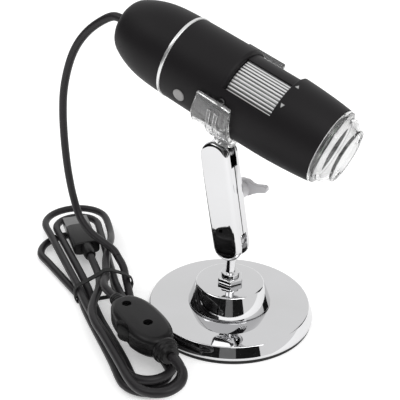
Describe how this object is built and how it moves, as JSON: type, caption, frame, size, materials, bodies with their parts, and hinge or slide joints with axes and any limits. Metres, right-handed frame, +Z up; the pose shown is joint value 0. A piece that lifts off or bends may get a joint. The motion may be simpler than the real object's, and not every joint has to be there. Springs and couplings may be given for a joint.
{
  "type": "usb digital microscope",
  "caption": "Digital microscope barrel in a clear clip on a two-ball link arm and a weighted round base, its cord folded up and tied beside the stand.",
  "frame": {"origin": "centre of the base's underside", "axes": "+Z up, +X towards the nose of the barrel, -Y the side with the buttons"},
  "size_m": [0.1664, 0.1089, 0.1282],
  "materials": {
    "chrome": "mirror polished",
    "steel": "satin",
    "rubber": "matt",
    "black_plastic": "fine matt",
    "grey_plastic": "satin",
    "silver_plastic": "satin silver",
    "clear_plastic": "clear",
    "lens_glass": "polished",
    "board": "printed board",
    "led": "clear white",
    "cord": "semi-gloss"
  },
  "bodies": {
    "base": {"foot_pad": "rubber", "base_weight": "steel", "base_shell": "chrome", "base_boss": "chrome", "base_screw": "steel"},
    "stem": {"stud_nut": "chrome", "lower_ball_stud": "steel", "cord_lead": "cord", "cord_hank": "cord", "cord_tail": "cord", "dimmer_top": "black_plastic", "dimmer_bottom": "black_plastic", "dimmer_screw_1": "steel", "dimmer_screw_2": "steel", "dimmer_relief_near": "black_plastic", "dimmer_relief_far": "black_plastic", "plug_body": "black_plastic", "plug_shell": "steel", "plug_tongue": "rubber", "twist_tie": "rubber"},
    "arm": {"arm_plate_front": "chrome", "arm_plate_rear": "chrome", "clamp_screw": "steel", "clamp_spring": "steel", "clamp_washer": "steel"},
    "wing_nut": {"wing_screw": "grey_plastic"},
    "head_stud": {"upper_ball_stud": "steel"},
    "holder": {"clip": "clear_plastic"},
    "barrel": {"rear_cap": "black_plastic", "trim_ring": "silver_plastic", "barrel_shell": "black_plastic", "front_bezel": "black_plastic", "nose_cap": "clear_plastic", "led_board": "board", "led_1": "led", "led_2": "led", "led_3": "led", "led_4": "led", "led_5": "led", "led_6": "led", "led_7": "led", "led_8": "led", "camera_board": "board", "sensor": "black_plastic", "button_board": "board", "cord_gland": "rubber"},
    "focus_ring": {"focus_wheel": "silver_plastic"},
    "lens_group": {"lens_carrier": "black_plastic", "lens": "lens_glass"},
    "zoom_key": {"zoom_button": "grey_plastic"},
    "snap_key": {"snap_button": "black_plastic"},
    "dimmer_dial": {"dimmer_wheel": "rubber"}
  },
  "joints": [
    {"name": "stand_swivel", "type": "hinge", "parent": "base", "child": "stem", "pos_m": [0, 0, 0.0167], "axis": [0, 0, 1], "continuous": true},
    {"name": "arm_tilt", "type": "hinge", "parent": "stem", "child": "arm", "pos_m": [0, 0, 0.0345], "axis": [0, 1, 0], "range_deg": [-15, 20], "deforming": ["cord_lead"]},
    {"name": "wing_turn", "type": "hinge", "parent": "arm", "child": "wing_nut", "pos_m": [-0.00355, 0, 0.05347], "axis": [0, 1, 0], "continuous": true},
    {"name": "head_tilt", "type": "hinge", "parent": "arm", "child": "head_stud", "pos_m": [-0.0071, 0, 0.07244], "axis": [0, 1, 0], "range_deg": [-20, 30], "deforming": ["cord_lead"]},
    {"name": "clip_swivel", "type": "hinge", "parent": "head_stud", "child": "holder", "pos_m": [0.00238, 0, 0.09937], "axis": [0.3322, 0, 0.9432], "range_deg": [-30, 30], "deforming": ["cord_lead"]},
    {"name": "barrel_roll", "type": "hinge", "parent": "holder", "child": "barrel", "pos_m": [0.00238, 0, 0.09937], "axis": [0.9432, 0, -0.3322], "range_deg": [-40, 0], "deforming": ["cord_lead"]},
    {"name": "focus_turn", "type": "hinge", "parent": "barrel", "child": "focus_ring", "pos_m": [0.00238, 0, 0.09937], "axis": [0.9432, 0, -0.3322], "range_deg": [-150, 150]},
    {"name": "lens_slide", "type": "slide", "parent": "barrel", "child": "lens_group", "axis": [0.9432, 0, -0.3322], "range_m": [-0.003, 0.003]},
    {"name": "zoom_press", "type": "slide", "parent": "barrel", "child": "zoom_key", "axis": [0.1298, 0.9205, 0.3685], "range_m": [0, 0.0004], "stiffness_N_per_m": 1500, "springref_m": -0.0004},
    {"name": "snap_press", "type": "slide", "parent": "barrel", "child": "snap_key", "axis": [-0.0232, 0.9976, -0.0658], "range_m": [0, 0.0004], "stiffness_N_per_m": 1500, "springref_m": -0.0004},
    {"name": "dimmer_turn", "type": "hinge", "parent": "stem", "child": "dimmer_dial", "pos_m": [-0.01529, -0.04902, 0.0137], "axis": [0, 0, 1], "range_deg": [-135, 135]}
  ],
  "couplings": [
    {"joint": "lens_slide", "follows": "focus_turn", "m_per_rad": 0.001145}
  ]
}
